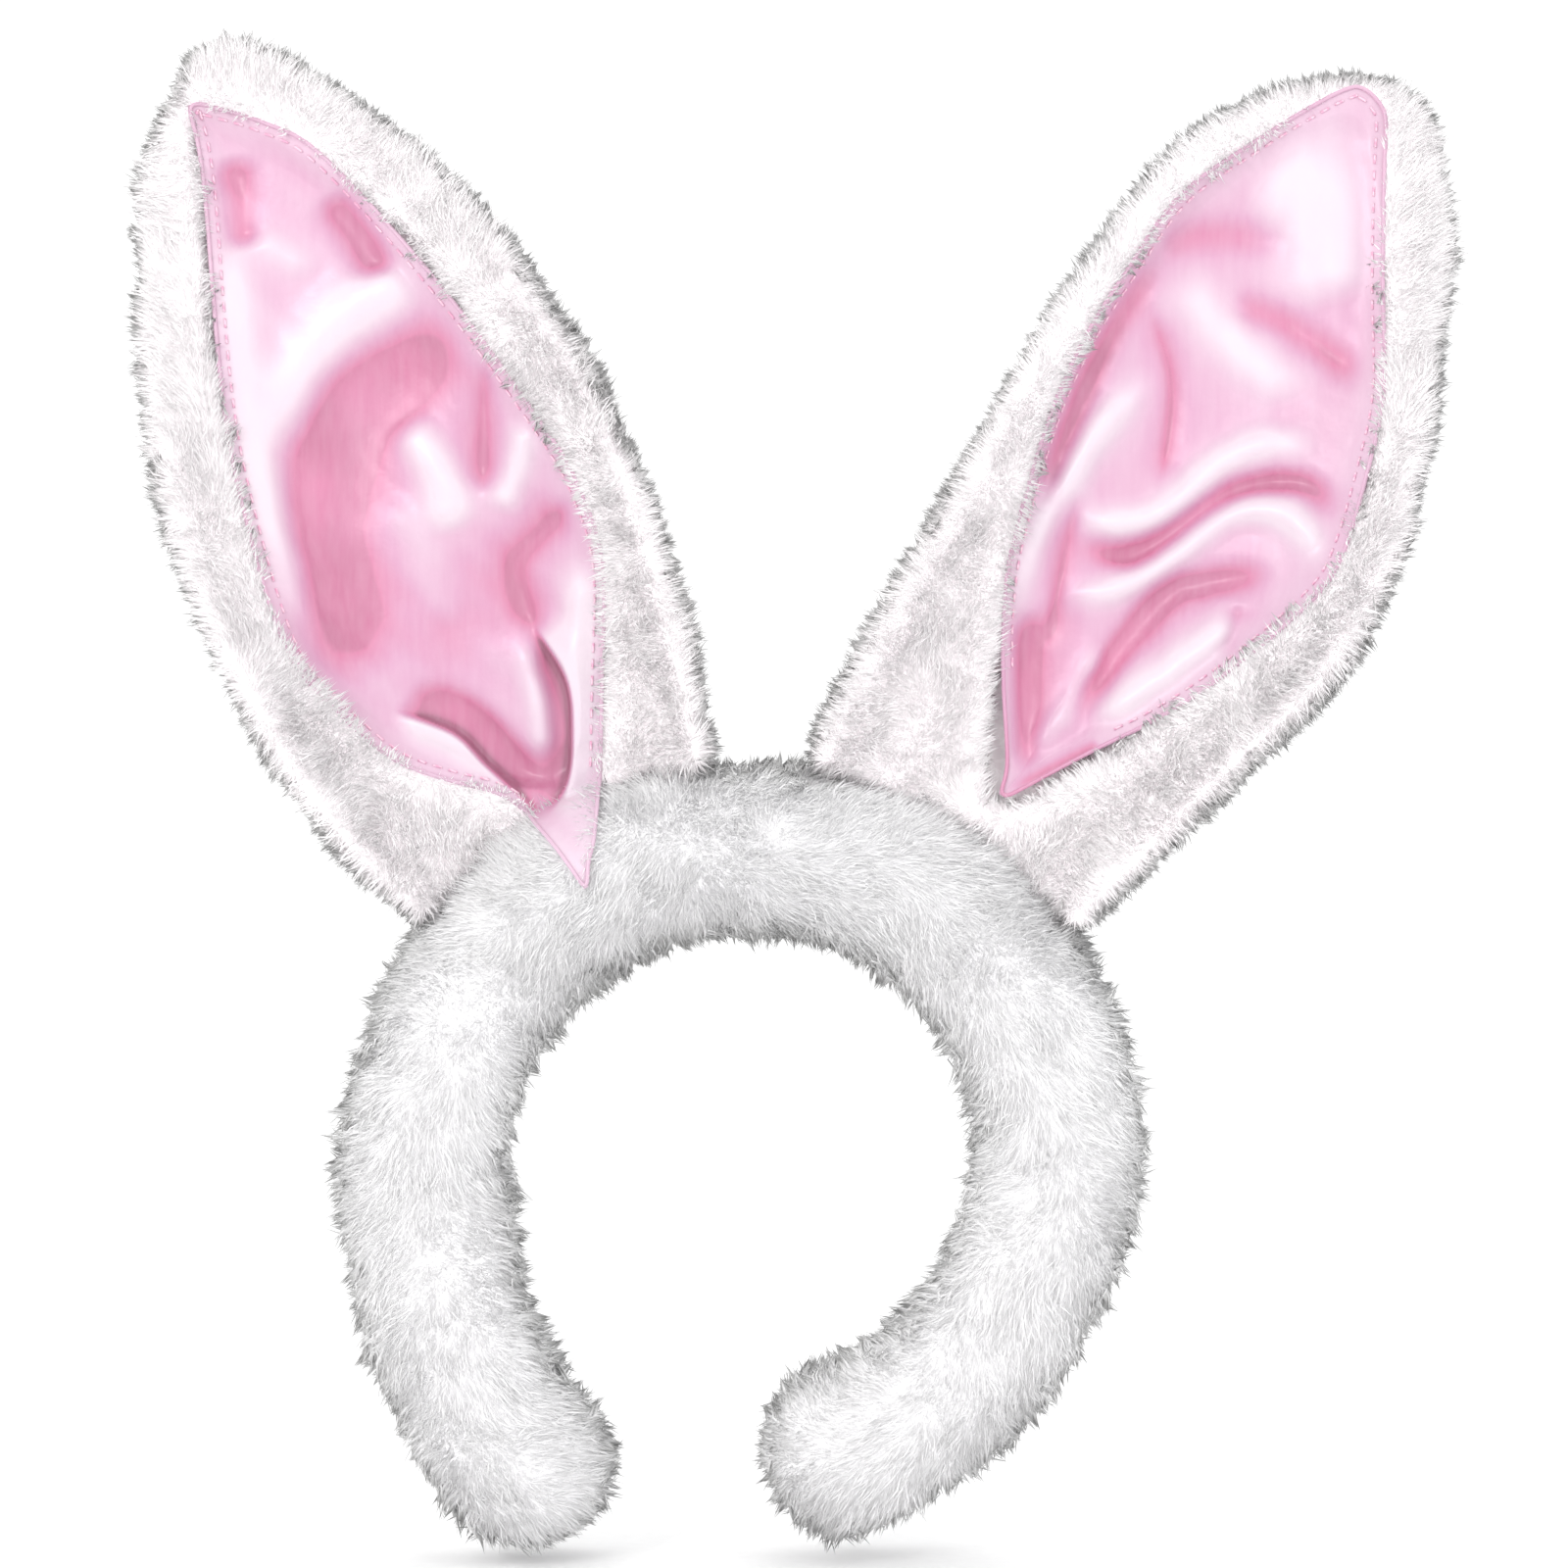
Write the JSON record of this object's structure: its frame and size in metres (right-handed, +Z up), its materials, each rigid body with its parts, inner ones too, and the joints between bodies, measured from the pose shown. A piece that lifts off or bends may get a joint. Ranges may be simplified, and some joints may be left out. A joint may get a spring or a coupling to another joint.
{
  "type": "animal ears headband",
  "caption": "Costume headband with plush rabbit ears: a springy padded band in a fur sleeve, and wired ears with satin linings that tilt on the crown.",
  "frame": {"origin": "centre of the crown's arc, where the head sits in the band", "axes": "+Z up out of the crown's middle, +X to the right seen from the front, the satin side of the ears faces -Y"},
  "size_m": [0.3151, 0.0485, 0.3644],
  "materials": {
    "plush": "long white pile on a knitted ground",
    "satin": "glossy pink satin weave",
    "foam": "soft open-cell foam",
    "wadding": "loose polyester wadding",
    "band_strip": "springy natural plastic strip",
    "ear_wire": "annealed bendable wire",
    "pink_thread": "spun polyester thread",
    "white_thread": "spun polyester thread"
  },
  "bodies": {
    "crown": {"crown_strip": "band_strip", "crown_padding": "foam", "crown_sleeve": "plush", "crown_seam_stitches": "white_thread"},
    "left_leg": {"left_leg_strip": "band_strip", "left_leg_padding": "foam", "left_leg_sleeve": "plush", "left_leg_seam_stitches": "white_thread", "left_end_stitches": "white_thread"},
    "left_ear": {"left_ear_shell": "plush", "left_ear_wadding": "wadding", "left_ear_wire": "ear_wire", "left_ear_lining": "satin", "left_ear_topstitches": "pink_thread", "left_ear_base_stitches": "white_thread"},
    "right_leg": {"right_leg_strip": "band_strip", "right_leg_padding": "foam", "right_leg_sleeve": "plush", "right_leg_seam_stitches": "white_thread", "right_end_stitches": "white_thread"},
    "right_ear": {"right_ear_shell": "plush", "right_ear_wadding": "wadding", "right_ear_wire": "ear_wire", "right_ear_lining": "satin", "right_ear_topstitches": "pink_thread", "right_ear_base_stitches": "white_thread"}
  },
  "joints": [
    {"name": "left_leg_flex", "type": "hinge", "parent": "crown", "child": "left_leg", "pos_m": [-0.07087, 0, 0.03305], "axis": [0, 1, 0], "range_deg": [-6, 30], "stiffness_Nm_per_rad": 0.8},
    {"name": "right_leg_flex", "type": "hinge", "parent": "crown", "child": "right_leg", "pos_m": [0.07087, 0, 0.03305], "axis": [0, -1, 0], "range_deg": [-6, 30], "stiffness_Nm_per_rad": 0.8},
    {"name": "left_ear_tilt", "type": "hinge", "parent": "crown", "child": "left_ear", "pos_m": [-0.03791, 0, 0.06839], "axis": [0.8746, 0, 0.4848], "range_deg": [-30, 35]},
    {"name": "right_ear_tilt", "type": "hinge", "parent": "crown", "child": "right_ear", "pos_m": [0.04028, 0, 0.06703], "axis": [0.8572, 0, -0.515], "range_deg": [-30, 35]}
  ]
}
